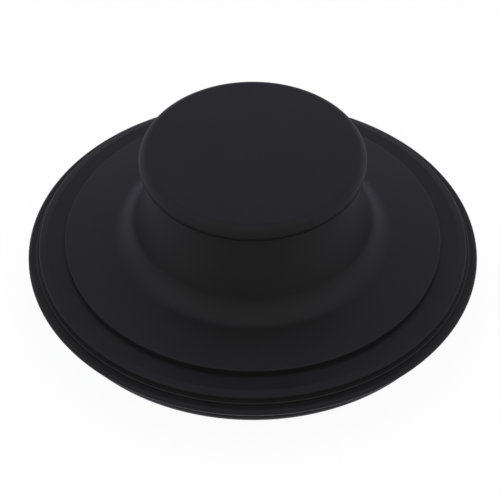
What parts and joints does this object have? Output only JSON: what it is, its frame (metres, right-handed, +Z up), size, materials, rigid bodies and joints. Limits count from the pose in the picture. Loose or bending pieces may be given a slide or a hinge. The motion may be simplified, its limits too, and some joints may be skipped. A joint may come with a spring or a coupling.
{
  "type": "sink drain stopper",
  "caption": "Low round drain stopper: a flat knob on a flared neck and plate, screwed through a ribbed carrier to a rubber seal with an upper sealing lip and a lower plug lip.",
  "frame": {"origin": "centre of the round foot that the stopper stands on, on its axis", "axes": "+Z up along the axis, from the foot to the knob; +X midway between two ribs of the carrier"},
  "size_m": [0.085, 0.085, 0.0338],
  "materials": {
    "coating": "matte black powder coat with a soft satin sheen",
    "rubber": "moulded black rubber, dull",
    "moulding": "fine-textured black moulding",
    "brass": "turned and knurled",
    "steel": "bright stainless, lightly turned"
  },
  "bodies": {
    "root": {"knob_cap": "coating", "knob_core": "moulding", "threaded_insert": "brass", "neck_gasket": "rubber", "skirt": "coating", "seal_ring": "rubber", "carrier": "moulding", "flat_washer": "steel", "lock_washer": "steel", "centre_screw": "steel"}
  },
  "joints": []
}
